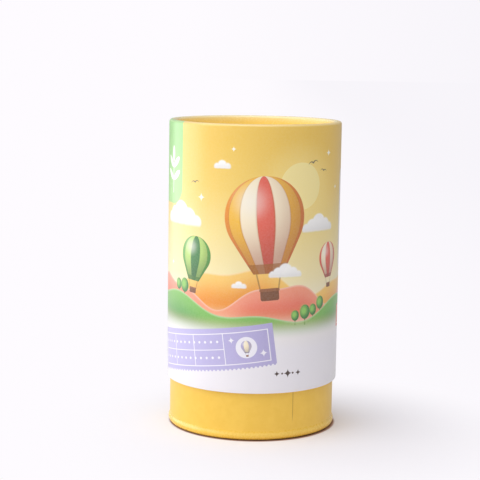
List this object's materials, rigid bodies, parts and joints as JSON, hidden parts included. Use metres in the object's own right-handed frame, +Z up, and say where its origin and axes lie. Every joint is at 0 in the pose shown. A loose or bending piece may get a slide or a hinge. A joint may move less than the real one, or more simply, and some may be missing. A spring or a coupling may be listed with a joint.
{
  "type": "cylindrical gift tube box",
  "caption": "Round telescoping paper tube box: a long sleeve lid with a sunk top slides down over an inner tube with a rolled foot, leaving a plain band in view.",
  "frame": {"origin": "centre of the ring under the body's rolled foot, on the surface that the box stands on", "axes": "+Z up along the tube's axis, the way the lid lifts; -Y is the front of the print; +X to the right seen from the front"},
  "size_m": [0.076, 0.076, 0.1354],
  "materials": {
    "yellow_wrap_paper": "matt film over warm yellow print",
    "printed_wrap_paper": "matt film over a print that fades from yellow to white",
    "tube_board": "grey board, convolute wound",
    "disc_board": "grey board, stamped",
    "yellow_facing_paper": "matt yellow paper",
    "white_lining_paper": "uncoated white paper"
  },
  "bodies": {
    "body": {"body_tube": "tube_board", "body_wrap": "yellow_wrap_paper", "body_lining": "white_lining_paper", "base_disc": "disc_board", "base_paper": "yellow_facing_paper", "floor_paper": "white_lining_paper"},
    "lid": {"lid_tube": "tube_board", "lid_wrap": "printed_wrap_paper", "lid_lining": "white_lining_paper", "lid_top_disc": "disc_board", "lid_top_paper": "yellow_facing_paper", "lid_under_paper": "white_lining_paper"}
  },
  "joints": [
    {"name": "lid_lift", "type": "slide", "parent": "body", "child": "lid", "axis": [0, 0, 1], "range_m": [0, 0.12]}
  ]
}
